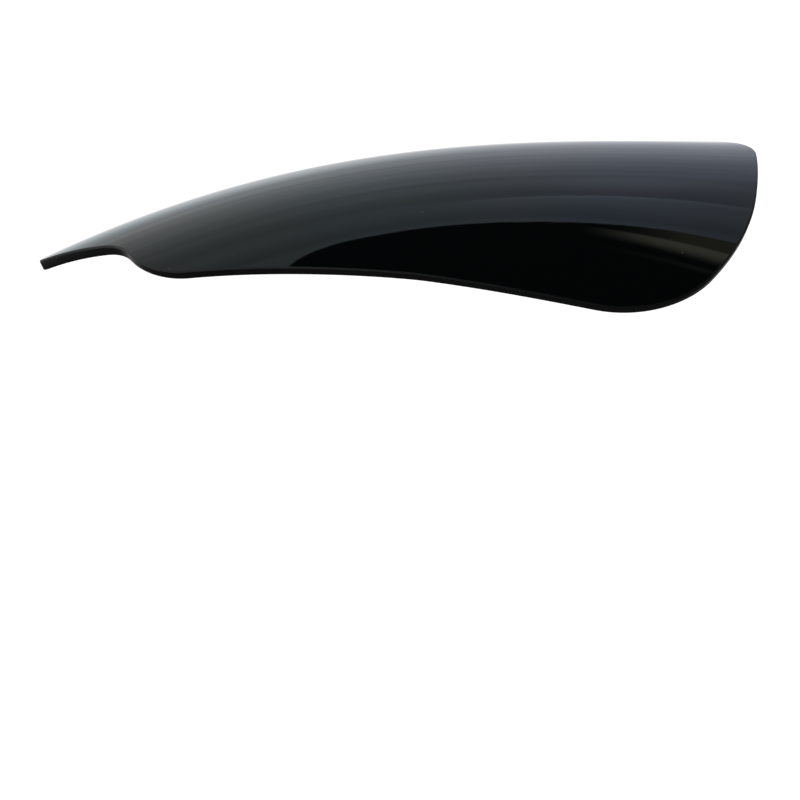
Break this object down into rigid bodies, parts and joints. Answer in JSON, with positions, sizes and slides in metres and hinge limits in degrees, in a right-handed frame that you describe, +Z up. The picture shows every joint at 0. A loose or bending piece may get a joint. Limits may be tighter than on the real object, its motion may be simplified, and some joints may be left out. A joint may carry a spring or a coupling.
{
  "type": "motorcycle hand guard",
  "caption": "Curved wind and hand guard for a handlebar: a thick formed sheet with a narrow fixing tongue and a blade that widens to a rounded lobe.",
  "frame": {"origin": "middle of the fixing pad on the inner face of the tongue", "axes": "+X along the guard from the tongue to the wide end, -Y towards the front that faces the wind, +Z up"},
  "size_m": [0.3056, 0.1228, 0.0571],
  "materials": {
    "gloss_black_sheet": "polished gloss black faces with satin sanded edges"
  },
  "bodies": {
    "root": {"guard_shell": "gloss_black_sheet"}
  },
  "joints": []
}
